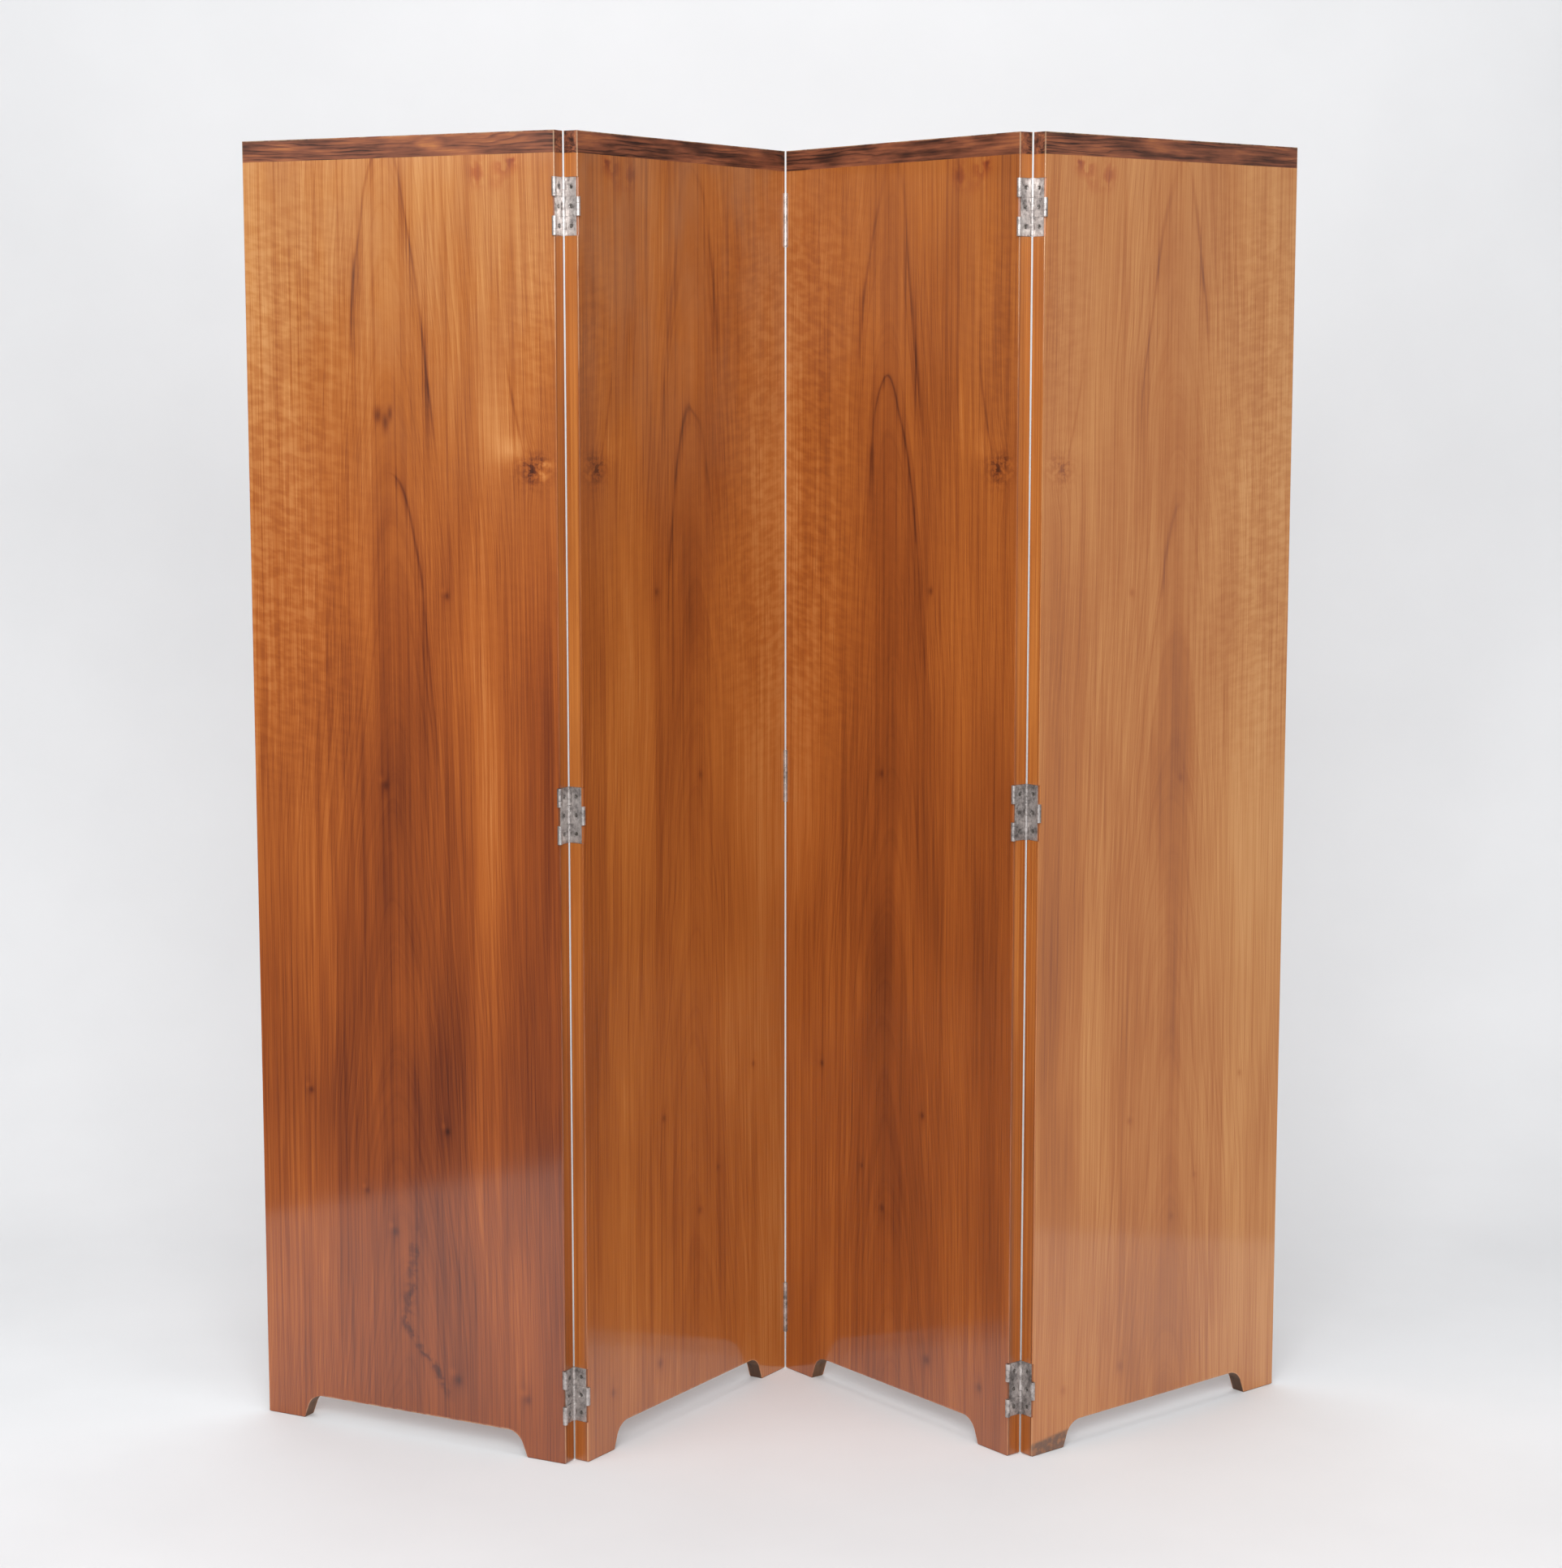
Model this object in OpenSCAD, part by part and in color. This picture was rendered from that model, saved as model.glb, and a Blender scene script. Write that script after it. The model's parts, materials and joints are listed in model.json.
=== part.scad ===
// Folding screen of four veneered panels on double-action hinges.
// Each panel has a laminboard core, solid edge strips, two face veneers and
// a rosewood top rail, and stands on two feet with a low arch between them.
// The floor is z = 0, the face side is -Y, and the plan is centred on the origin.

/* [Panels] */
// Height of the screen above the floor
panel_h = 1810; // [1500:5:2000]
// Width of one panel
panel_w = 500; // [400:5:600]
// Thickness of one panel over both veneers
panel_t = 22; // [18:0.5:24]
// Thickness of each face veneer
veneer_t = 1; // [0.6:0.1:1.5]
// Height at which the veneers stop above the floor, so that they don't chip
veneer_lift = 1; // [0.5:0.1:2]
// Radius of the panels' long edges and of the rail's upper edges
arris_r = 0.7; // [0.5:0.1:3]
// Width of the solid strips glued to the long edges of the core
lipping_w = 24; // [20:1:30]
// Height of the rail along the top
rail_h = 29; // [20:1:45]
// Thickness of the glued tongues of the rail and the strips
tongue_t = 6; // [4:0.5:8]
// Depth of the glued tongues
tongue_d = 8; // [5:0.5:12]
// Room round each tongue in its groove
tongue_fit = 0.1; // [0.05:0.05:0.3]

/* [Feet] */
// Width of a foot where it meets the floor
foot_w = 62; // [45:1:90]
// Height of the arch between the feet
arch_h = 36; // [28:1:50]
// Radius of the arch's two upper corners
arch_r = 28; // [12:1:32]
// Depth by which the corner arc runs past the two straight lines that it joins
arch_bite = 0.2; // [0.1:0.05:0.5]
// Slope of the feet's inner sides, in degrees above the floor
arch_slope = 69; // [60:1:78]
// Radius of the outer corner of each foot
toe_r = 3; // [1:0.5:6]

/* [Layout] */
// Turn of panel 1 away from the row's +X, in degrees
angle_1 = -27.5; // [-45:0.5:0]
// Turn of panel 2
angle_2 = 56.5; // [30:0.5:75]
// Turn of panel 3
angle_3 = -52.5; // [-75:0.5:-30]
// Turn of panel 4
angle_4 = 39.5; // [10:0.5:60]

/* [Hinges] */
// Height of a hinge
hinge_h = 76.2; // [60:0.2:100]
// Distance from the top of the screen down to the top hinge
hinge_drop = 60; // [50:1:120]
// Distance from the floor up to the bottom hinge
hinge_rise = 57; // [50:1:120]
// Gap between the edges of two neighbouring panels when they lie flat
panel_gap = 0.6; // [0.4:0.1:1.2]
// Thickness of the leaf plate screwed to each panel
leaf_t = 1.2; // [1:0.1:1.6]
// Thickness of the loose link plates between the two leaves
link_t = 1.2; // [1:0.1:1.6]
// Play between a leaf and a link that lie on each other
layer_gap = 0.2; // [0.15:0.05:0.3]
// Radius of the hinge barrels
barrel_r = 3.4; // [2.8:0.1:4]
// Distance from the face of the panel out to the barrels' axes
axis_rise = 0.8; // [0.6:0.1:2.5]
// Distance between a barrel and the ends of the plates beside it
barrel_gap = 0.3; // [0.2:0.05:0.6]
// Room round a barrel in the wood beside it
barrel_room = 0.3; // [0.2:0.05:0.6]
// Radius of the hinge pins
pin_r = 1.6; // [1.2:0.1:1.8]
// Running clearance of a pin in its knuckles
pin_fit = 0.05; // [0.03:0.01:0.08]
// Play along the axis between two knuckles of one section
knuckle_gap = 0.2; // [0.15:0.05:0.4]
// Play along the axis between two sections of one hinge
section_gap = 0.4; // [0.3:0.05:0.8]
// Room round the leaf in the notch cut for it
notch_fit = 0.2; // [0.1:0.05:0.5]

/* [Screws] */
// Radius of a hinge screw
screw_r = 1.7; // [1.4:0.1:2]
// Length of a hinge screw, with its head
screw_l = 16; // [10:1:18]
// Length of the screw's point
screw_tip = 4; // [2:0.5:6]
// Width of the slot in the screw's head
slot_w = 0.8; // [0.5:0.1:1.2]
// Depth of that slot
slot_d = 0.6; // [0.3:0.1:0.8]
// Clearance round a screw in its hole
screw_fit = 0.05; // [0.03:0.01:0.08]
// Depth of the hole beyond the screw's point
screw_room = 0.5; // [0.2:0.1:1]
// Room round a screw's head in the link plate that lies over it
access_room = 0.6; // [0.4:0.1:1]

/* [Hidden] */
$fn = 64;

// Overrun of every cut
over = 1;

PANELS = [1, 2, 3, 4];
JOINTS = [1, 2, 3];
LEVELS = ["bottom", "middle", "top"];
SIDES = ["left", "right"];
FACES = ["front", "back"];

// Panel build-up
core_t = panel_t - 2 * veneer_t;
body_h = panel_h - rail_h;

// Corner arc of the arch: its centre, and the height where it turns into the foot's side
arc_z = arch_h - arch_r + arch_bite;
arc_u = foot_w + arc_z / tan(arch_slope) + (arch_r - arch_bite) / sin(arch_slope);
turn_z = arc_z + arch_r * cos(arch_slope);

// Hinge build-up, measured from the middle of the gap between two panels
stack_half = link_t / 2 + layer_gap + leaf_t;
notch_d = stack_half - panel_gap / 2;
axis_off = panel_t / 2 + axis_rise;
plate_half = axis_off - barrel_r - barrel_gap;
section_h = hinge_h / 3;
section_use = section_h - section_gap;
knuckle_h = (section_use - 2 * knuckle_gap) / 3;
knuckle_step = knuckle_h + knuckle_gap;
head_r = screw_r + leaf_t;

// Heights of the hinge centres, bottom to top
hinge_low = hinge_rise + hinge_h / 2;
hinge_high = panel_h - hinge_drop - hinge_h / 2;
hinge_zs = [hinge_low, (hinge_low + hinge_high) / 2, hinge_high];

// Plan layout. Joints 1 and 3 fold on their back axis, joint 2 on its front axis.
headings = [angle_1, angle_2, angle_3, angle_4];
left_line = -panel_gap / 2;
right_line = panel_w + panel_gap / 2;

function turned(p, a) = [p[0] * cos(a) - p[1] * sin(a), p[0] * sin(a) + p[1] * cos(a)];

// Left edge of each panel at mid-thickness, measured from joint 2's front axis
loose_2 = -turned([right_line, -axis_off], angle_2);
loose_3 = -turned([left_line, -axis_off], angle_3);
loose_1 = loose_2 + turned([left_line, axis_off], angle_2)
  - turned([right_line, axis_off], angle_1);
loose_4 = loose_3 + turned([right_line, axis_off], angle_3)
  - turned([left_line, axis_off], angle_4);
loose = [loose_1, loose_2, loose_3, loose_4];

function placed(i, p) = loose[i] + turned(p, headings[i]);

// Every outermost point of the plan, whose middle becomes the origin
plan_points = [
  for (i = [0:3], u = [0, panel_w], v = [-panel_t / 2, panel_t / 2]) placed(i, [u, v]),
  for (j = [0:2], v = [-axis_off, axis_off], e = [-barrel_r, barrel_r]) each [
    placed(j, [right_line, v]) + [e, e],
    placed(j + 1, [left_line, v]) + [e, e]
  ]
];
plan_x = [for (p = plan_points) p[0]];
plan_y = [for (p = plan_points) p[1]];
plan_mid = [(min(plan_x) + max(plan_x)) / 2, (min(plan_y) + max(plan_y)) / 2];

// Which panels carry a hinge on which edge
function has_hinge(i, side) = side == "left" ? i > 1 : i < 4;

// Panel frame: x from the left edge, y from the mid-thickness, z from the floor
module on_panel(i) {
  at = loose[i - 1] - plan_mid;
  translate([at[0], at[1], 0])
    rotate([0, 0, headings[i - 1]])
      children();
}

// Draws a left-edge piece, or its mirror image on the right edge
module on_edge(side) {
  if (side == "left")
    children();
  else
    translate([panel_w, 0, 0])
      mirror([1, 0, 0])
        children();
}

// Hinge frame on one edge of a panel: x across the gap, z from the hinge's centre.
// A left panel's leaf is drawn as it is, and a right panel's is turned half round.
module on_joint(j, side, z) {
  if (side == "left")
    on_panel(j)
      translate([right_line, 0, z])
        children();
  else
    on_panel(j + 1)
      translate([left_line, 0, z])
        rotate([0, 0, 180])
          children();
}

// A round bar along the panel's thickness
module cross_bar(r, u, z) {
  translate([u, 0, z])
    rotate([90, 0, 0])
      cylinder(h = panel_t + 4 * over, r = r, center = true);
}

// The wood that rounds off the arch's upper left corner
module arch_corner() {
  difference() {
    translate([foot_w - over, -panel_t / 2 - over, turn_z])
      cube([arc_u - foot_w + over, panel_t + 2 * over, arch_h + over - turn_z]);
    cross_bar(arch_r, arc_u, arc_z);
  }
}

// The space under the arch, between the two feet
module arch_cut() {
  low = foot_w - over / tan(arch_slope);
  high = foot_w + arch_h / tan(arch_slope);
  difference() {
    rotate([90, 0, 0])
      linear_extrude(panel_t + 2 * over, center = true)
        polygon([[low, -over], [high, arch_h], [panel_w - high, arch_h], [panel_w - low, -over]]);
    for (s = SIDES)
      on_edge(s)
        arch_corner();
  }
}

// What the rounded outer corner of a left foot loses
module toe_cut() {
  difference() {
    translate([-over, -panel_t / 2 - over, -over])
      cube([toe_r + over, panel_t + 2 * over, toe_r + over]);
    cross_bar(toe_r, toe_r, toe_r);
  }
}

// What the two rounded arrises of a left edge lose, over the whole height
module arris_cut() {
  for (side = [-1, 1])
    mirror([0, side < 0 ? 1 : 0, 0])
      difference() {
        translate([-over, panel_t / 2 - arris_r, -over])
          cube([arris_r + over, arris_r + over, panel_h + 2 * over]);
        translate([arris_r, panel_t / 2 - arris_r, -2 * over])
          cylinder(h = panel_h + 4 * over, r = arris_r);
      }
}

// The notches that let the leaves and the barrels into a left edge
module leaf_notches() {
  h = hinge_h + 2 * notch_fit;
  for (z = hinge_zs) {
    translate([-over, -panel_t / 2 - over, z - h / 2])
      cube([notch_d + over, panel_t + 2 * over, h]);
    for (v = [-axis_off, axis_off])
      translate([left_line, v, z - h / 2])
        cylinder(h = h, r = barrel_r + barrel_room);
  }
}

// The screw holes of a left edge, one at the middle of each hinge section
module screw_holes() {
  for (z = hinge_zs, k = [-1, 0, 1])
    translate([0, 0, z + k * section_h])
      rotate([0, 90, 0])
        cylinder(h = left_line + link_t / 2 + layer_gap + screw_l + screw_room, r = screw_r + screw_fit);
}

module core(i) {
  color("burlywood")
    on_panel(i)
      difference() {
        translate([lipping_w, -core_t / 2, 0])
          cube([panel_w - 2 * lipping_w, core_t, body_h]);
        arch_cut();
        for (s = SIDES)
          on_edge(s)
            translate([lipping_w - over, -tongue_t / 2 - tongue_fit, -over])
              cube([over + tongue_d + tongue_fit, tongue_t + 2 * tongue_fit, body_h + 2 * over]);
        translate([lipping_w - over, -tongue_t / 2 - tongue_fit, body_h - tongue_d - tongue_fit])
          cube([panel_w - 2 * lipping_w + 2 * over, tongue_t + 2 * tongue_fit, tongue_d + tongue_fit + over]);
      }
}

module lipping(i, side) {
  color("sienna")
    on_panel(i)
      on_edge(side)
        difference() {
          union() {
            translate([0, -core_t / 2, 0])
              cube([lipping_w, core_t, body_h]);
            translate([lipping_w / 2, -tongue_t / 2, 0])
              cube([lipping_w / 2 + tongue_d, tongue_t, body_h - tongue_d - 2 * tongue_fit]);
          }
          toe_cut();
          arris_cut();
          if (has_hinge(i, side)) {
            leaf_notches();
            screw_holes();
          }
        }
}

module veneer(i, face) {
  v = face == "front" ? -core_t / 2 - veneer_t : core_t / 2;
  color("chocolate")
    on_panel(i)
      difference() {
        translate([0, v, veneer_lift])
          cube([panel_w, veneer_t, body_h - veneer_lift]);
        arch_cut();
        for (s = SIDES)
          on_edge(s) {
            toe_cut();
            arris_cut();
            if (has_hinge(i, s))
              leaf_notches();
          }
      }
}

// What the rail's rounded upper edges lose along its length
module rail_top_cut() {
  for (side = [-1, 1])
    mirror([0, side < 0 ? 1 : 0, 0])
      difference() {
        translate([-over, panel_t / 2 - arris_r, panel_h - arris_r])
          cube([panel_w + 2 * over, arris_r + over, arris_r + over]);
        translate([-2 * over, panel_t / 2 - arris_r, panel_h - arris_r])
          rotate([0, 90, 0])
            cylinder(h = panel_w + 4 * over, r = arris_r);
      }
}

// What the rounded upper corner of the rail's left end loses
module rail_end_cut() {
  difference() {
    translate([-over, -panel_t / 2 - over, panel_h - arris_r])
      cube([arris_r + over, panel_t + 2 * over, arris_r + over]);
    cross_bar(arris_r, arris_r, panel_h - arris_r);
  }
}

module top_rail(i) {
  color("saddlebrown")
    on_panel(i)
      difference() {
        union() {
          translate([0, -panel_t / 2, body_h])
            cube([panel_w, panel_t, rail_h]);
          translate([lipping_w + tongue_fit, -tongue_t / 2, body_h - tongue_d])
            cube([panel_w - 2 * lipping_w - 2 * tongue_fit, tongue_t, tongue_d + rail_h / 2]);
        }
        rail_top_cut();
        for (s = SIDES)
          on_edge(s) {
            arris_cut();
            rail_end_cut();
          }
      }
}

// Height of knuckle n of a section, of which 0 belongs to the link and -1 and 1 to the leaf
function knuckle_z(section, n) = section * section_h + n * knuckle_step;

// One knuckle with the neck that joins it to a plate lying between x0 and x0 + t
module knuckle(section, n, side, x0, t) {
  translate([0, 0, knuckle_z(section, n) - knuckle_h / 2]) {
    translate([0, side * axis_off, 0])
      cylinder(h = knuckle_h, r = barrel_r);
    translate([x0, side > 0 ? 0 : -axis_off, 0])
      cube([t, axis_off, knuckle_h]);
  }
}

// The pin's hole through all knuckles of one section
module pin_hole(section, side) {
  translate([0, side * axis_off, section * section_h - section_h / 2])
    cylinder(h = section_h, r = pin_r + pin_fit);
}

// A left panel's leaf: outer sections pinned at the front axis, the middle one at the back
function leaf_side(section) = section == 0 ? 1 : -1;

module leaf_shape() {
  difference() {
    union() {
      translate([-stack_half, -plate_half, -hinge_h / 2])
        cube([leaf_t, 2 * plate_half, hinge_h]);
      for (k = [-1, 0, 1], n = [-1, 1])
        knuckle(k, n, leaf_side(k), -stack_half, leaf_t);
    }
    for (k = [-1, 0, 1]) {
      pin_hole(k, leaf_side(k));
      translate([leaf_t - stack_half, 0, k * section_h])
        rotate([0, 90, 0])
          countersink();
    }
  }
}

// The seat of a screw's head, open at z = 0 and as deep as the leaf
module countersink() {
  rotate_extrude()
    polygon([
      [0, over],
      [head_r + screw_fit, over],
      [head_r + screw_fit, 0],
      [screw_r + screw_fit, -leaf_t],
      [screw_r + screw_fit, -leaf_t - over],
      [0, -leaf_t - over]
    ]);
}

module leaf(j, level, side) {
  color("silver")
    on_joint(j, side, hinge_zs[level])
      leaf_shape();
}

// A link plate pinned at both axes, with a hole over the screw behind it
module link_shape(section) {
  difference() {
    union() {
      translate([-link_t / 2, -plate_half, section * section_h - section_use / 2])
        cube([link_t, 2 * plate_half, section_use]);
      for (side = [-1, 1])
        knuckle(section, 0, side, -link_t / 2, link_t);
    }
    for (side = [-1, 1])
      pin_hole(section, side);
    translate([-link_t / 2 - over, 0, section * section_h])
      rotate([0, 90, 0])
        cylinder(h = link_t + 2 * over, r = head_r + access_room);
  }
}

// Joint 2 folds the other way, so its links lie on the opposite leaves
function outer_link_side(j) = j == 2 ? "right" : "left";
function middle_link_side(j) = j == 2 ? "left" : "right";

module outer_links(j) {
  color("darkgray")
    for (z = hinge_zs, k = [-1, 1])
      on_joint(j, outer_link_side(j), z)
        link_shape(k);
}

module middle_links(j) {
  color("darkgray")
    for (z = hinge_zs)
      on_joint(j, middle_link_side(j), z)
        link_shape(0);
}

module pins(j, side) {
  color("gainsboro")
    for (z = hinge_zs, k = [-1, 0, 1])
      on_joint(j, side, z)
        translate([0, leaf_side(k) * axis_off, k * section_h - section_use / 2])
          cylinder(h = section_use, r = pin_r);
}

// A countersunk wood screw with its head's face at z = 0
module screw() {
  difference() {
    rotate_extrude()
      polygon([
        [0, 0],
        [head_r, 0],
        [screw_r, -leaf_t],
        [screw_r, screw_tip - screw_l],
        [0, -screw_l]
      ]);
    translate([-slot_w / 2, -head_r - over, -slot_d])
      cube([slot_w, 2 * head_r + 2 * over, slot_d + over]);
  }
}

module edge_screws(j, side) {
  for (z = hinge_zs, k = [-1, 0, 1])
    on_joint(j, side, z)
      translate([leaf_t - stack_half, 0, k * section_h])
        rotate([0, 90, 0])
          screw();
}

module hinge_screws(i) {
  color("dimgray") {
    if (has_hinge(i, "right"))
      edge_screws(i, "left");
    if (has_hinge(i, "left"))
      edge_screws(i - 1, "right");
  }
}

for (i = PANELS) {
  core(i);
  for (s = SIDES)
    lipping(i, s);
  for (f = FACES)
    veneer(i, f);
  top_rail(i);
  hinge_screws(i);
}
for (j = JOINTS) {
  for (l = [0:2], s = SIDES)
    leaf(j, l, s);
  outer_links(j);
  middle_links(j);
  for (s = SIDES)
    pins(j, s);
}
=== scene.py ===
"""Folding screen of four veneered walnut panels on nickel-plated double-action hinges.

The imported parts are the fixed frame. This script gives them their woods, lacquer and metal,
and puts softened metalwork in place of the plain hinge parts.
"""

import json
from math import cos, pi, radians, tan

import bmesh
import bpy
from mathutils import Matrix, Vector

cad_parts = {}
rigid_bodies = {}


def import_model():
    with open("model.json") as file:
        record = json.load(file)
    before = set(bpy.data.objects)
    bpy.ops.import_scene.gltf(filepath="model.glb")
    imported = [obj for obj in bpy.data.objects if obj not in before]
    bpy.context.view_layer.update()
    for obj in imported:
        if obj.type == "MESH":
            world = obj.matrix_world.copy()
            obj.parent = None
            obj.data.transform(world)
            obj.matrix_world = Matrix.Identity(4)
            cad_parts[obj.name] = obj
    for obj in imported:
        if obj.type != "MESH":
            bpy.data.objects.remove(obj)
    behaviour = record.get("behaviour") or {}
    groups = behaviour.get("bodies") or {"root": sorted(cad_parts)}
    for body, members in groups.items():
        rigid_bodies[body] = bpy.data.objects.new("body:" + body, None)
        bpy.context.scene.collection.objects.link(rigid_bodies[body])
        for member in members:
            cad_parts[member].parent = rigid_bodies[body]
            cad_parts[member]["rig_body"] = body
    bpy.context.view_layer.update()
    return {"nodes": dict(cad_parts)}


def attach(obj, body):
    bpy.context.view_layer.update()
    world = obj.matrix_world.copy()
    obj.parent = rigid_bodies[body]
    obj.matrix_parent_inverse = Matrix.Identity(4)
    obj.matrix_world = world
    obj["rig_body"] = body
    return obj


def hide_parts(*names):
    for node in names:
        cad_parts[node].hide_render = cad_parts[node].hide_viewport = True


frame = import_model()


# FINE GRAIN
# Straight streaks and open pores run along every piece of wood. One effect gives both. Its Streaks
# and Pores are cells per metre in x, y and z, so that it serves the upright boards and the rails.
PORE_BAND = (0.60, 0.76)          # the part of the pore noise over which a pore deepens


def feed(tree, node, inputs):
    """Links or sets a node's inputs."""
    for name, value in inputs.items():
        if isinstance(value, bpy.types.NodeSocket):
            tree.links.new(value, node.inputs[name])
        else:
            node.inputs[name].default_value = value


def put(tree, kind, inputs, **settings):
    """Adds a node with its settings and inputs."""
    node = tree.nodes.new(kind)
    for name, value in settings.items():
        setattr(node, name, value)
    feed(tree, node, inputs)
    return node


def move(tree, operation, *values):
    """One sum on vectors."""
    return put(tree, "ShaderNodeVectorMath", dict(enumerate(values)), operation=operation).outputs[0]


def noise(tree, place, stretch, detail=2.0, roughness=0.5, dimensions="3D"):
    """Noise from 0 to 1 whose cells are 1 / stretch metres long in each direction."""
    return put(tree, "ShaderNodeTexNoise",
               {"Vector": move(tree, "MULTIPLY", place, stretch), "Scale": 1.0, "Detail": detail,
                "Roughness": roughness}, noise_dimensions=dimensions).outputs["Fac"]


def spread(tree, value, low, high, to_low=0.0, to_high=1.0):
    """Maps low..high smoothly onto to_low..to_high, held at the ends."""
    return put(tree, "ShaderNodeMapRange",
               {"Value": value, "From Min": low, "From Max": high, "To Min": to_low, "To Max": to_high},
               interpolation_type="SMOOTHSTEP").outputs["Result"]


def effect(name, inputs, outputs):
    """Starts a node group, and returns its tree, its inputs by name and the node that ends it."""
    kinds = {"value": "NodeSocketFloat", "vector": "NodeSocketVector", "colour": "NodeSocketColor"}
    tree = bpy.data.node_groups.new(name, "ShaderNodeTree")
    for label, kind, default in inputs:
        socket = tree.interface.new_socket(label, in_out="INPUT", socket_type=kinds[kind])
        socket.default_value = default
    for label, kind in outputs:
        tree.interface.new_socket(label, in_out="OUTPUT", socket_type=kinds[kind])
    return tree, tree.nodes.new("NodeGroupInput").outputs, tree.nodes.new("NodeGroupOutput")


fine, a, end = effect(
    "fine_grain",
    [("Place", "vector", (0, 0, 0)), ("Streaks", "vector", (260, 260, 2.2)),
     ("Pores", "vector", (900, 900, 26))],
    [("Streak", "value"), ("Pore", "value")])
feed(fine, end, {"Streak": noise(fine, a["Place"], a["Streaks"], 4.0, 0.6),
                 "Pore": spread(fine, noise(fine, a["Place"], a["Pores"], 2.0, 0.6), *PORE_BAND)})


# PANEL CORES
# Laminboard glued up from softwood strips, in four boards that stand in a zigzag. Only its lower
# edge shows, under the arch and at the soles, and its dark brown colour there is painted shade.
STRIPS_PER_M = 42.0               # softwood strips side by side in a metre of core

# The foot of each board's left edge at mid-thickness, the board's turn about the vertical in
# degrees, and whether its veneer is laid reversed
PANELS = {
    1: dict(foot=(-0.732068, 0.021621), turn=-27.5, reversed=False),
    2: dict(foot=(-0.272842, -0.205188), turn=56.5, reversed=True),
    3: dict(foot=(0.022676, 0.212437), turn=-52.5, reversed=False),
    4: dict(foot=(0.344338, -0.186208), turn=39.5, reversed=True),
}


def calc(tree, operation, *values):
    """One sum on numbers."""
    return put(tree, "ShaderNodeMath", dict(enumerate(values)), operation=operation).outputs[0]


def product(tree, *values):
    """The product of the values."""
    result = values[0]
    for value in values[1:]:
        result = calc(tree, "MULTIPLY", result, value)
    return result


def total(tree, *terms):
    """The sum of the terms, each a value or a (value, amount) pair."""
    result = None
    for term in terms:
        part = product(tree, *term) if isinstance(term, tuple) else term
        result = part if result is None else calc(tree, "ADD", result, part)
    return result


def axes(tree, place):
    """The x, y and z of a place."""
    return put(tree, "ShaderNodeSeparateXYZ", {0: place}).outputs


def ramp(tree, value, stops):
    """A colour ramp from (place, colour or number) stops."""
    node = put(tree, "ShaderNodeValToRGB", {"Fac": value})
    points = node.color_ramp.elements
    while len(points) < len(stops):
        points.new(1.0)
    for point, (place, colour) in zip(points, stops):
        point.position = place
        point.color = (*colour, 1.0) if isinstance(colour, tuple) else (colour, colour, colour, 1.0)
    return node.outputs["Color"]


def bump(tree, height, depth):
    """A normal from a height, where 1 stands depth metres proud."""
    return put(tree, "ShaderNodeBump",
               {"Height": height, "Strength": 1.0, "Distance": depth}).outputs["Normal"]


def use(tree, group, inputs):
    """Places a node group and returns its outputs."""
    return put(tree, "ShaderNodeGroup", inputs, node_tree=group).outputs


def new_material(name):
    """Starts a material, and returns it with its tree and its Principled shader."""
    material = bpy.data.materials.new(name)
    material.use_nodes = True
    tree = material.node_tree
    return material, tree, tree.nodes["Principled BSDF"]


def in_metres(tree):
    """Places in the scene, in metres."""
    return put(tree, "ShaderNodeTexCoord", {}).outputs["Object"]


def on_panel(tree, number):
    """Places on one board, in metres: x from its left edge, y from its mid-thickness, z up."""
    board = PANELS[number]
    shift = {"Vector": in_metres(tree), "Location": (*board["foot"], 0.0),
             "Rotation": (0.0, 0.0, radians(board["turn"]))}
    return put(tree, "ShaderNodeMapping", shift, vector_type="TEXTURE").outputs["Vector"]


def dress(material, node):
    """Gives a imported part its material."""
    piece = frame["nodes"][node]
    piece.data.materials.clear()
    piece.data.materials.append(material)


for number in PANELS:
    material, tree, wood = new_material("core_in_painted_shade_%d" % number)
    place = on_panel(tree, number)
    grain = use(tree, fine, {"Place": place, "Streaks": (150, 150, 6), "Pores": (700, 700, 60)})
    strip = calc(tree, "FLOOR", product(tree, axes(tree, place)[0], STRIPS_PER_M))
    strips = put(tree, "ShaderNodeTexWhiteNoise", {"W": strip}, noise_dimensions="1D").outputs["Value"]
    tone = total(tree, (strips, 0.35), (grain["Streak"], 0.65))
    # The dark brown colour is painted shade for the shadow under the arch
    feed(tree, wood, {
        "Base Color": ramp(tree, tone, [(0.15, (0.045, 0.018, 0.008)), (0.55, (0.115, 0.048, 0.018)),
                                        (0.9, (0.200, 0.095, 0.038))]),
        "Roughness": spread(tree, grain["Pore"], 0.0, 1.0, 0.55, 0.75),
        "Normal": bump(tree, grain["Pore"], -0.0002)})
    dress(material, "panel_%d_core" % number)


# WORN ARRISES AND PAINTED HIGHLIGHTS ON THEM
# Years of hands have rubbed the lacquer and stain from the boards' long edges, most near the top,
# from the top rail's front edge and from the feet. The pale colour laid there is partly that wear and
# partly painted highlight on the rounded arrises. One effect gives that pale share for all woods.
PANEL_W, PANEL_T, PANEL_H = 0.500, 0.022, 1.810
FOOT_W = 0.062                    # a foot's width at the sole
LEAN = radians(90.0 - 69.0)       # the lean of the arch's sides, which rise at 69 degrees
ARC_U, ARC_Z, ARC_R = 0.09493, 0.0082, 0.028     # the arch's corner: its middle and its radius
ARC_START = (0.0180, 0.0184)      # the height at which the side runs into the corner

# How far from an arris the pale wear and painted highlight fade out: along the sides, along the
# top and round the arch
SIDE_PALE_BAND, TOP_PALE_BAND, ARCH_PALE_BAND = (0.0009, 0.0019), (0.0009, 0.0018), (0.0008, 0.0019)

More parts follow.
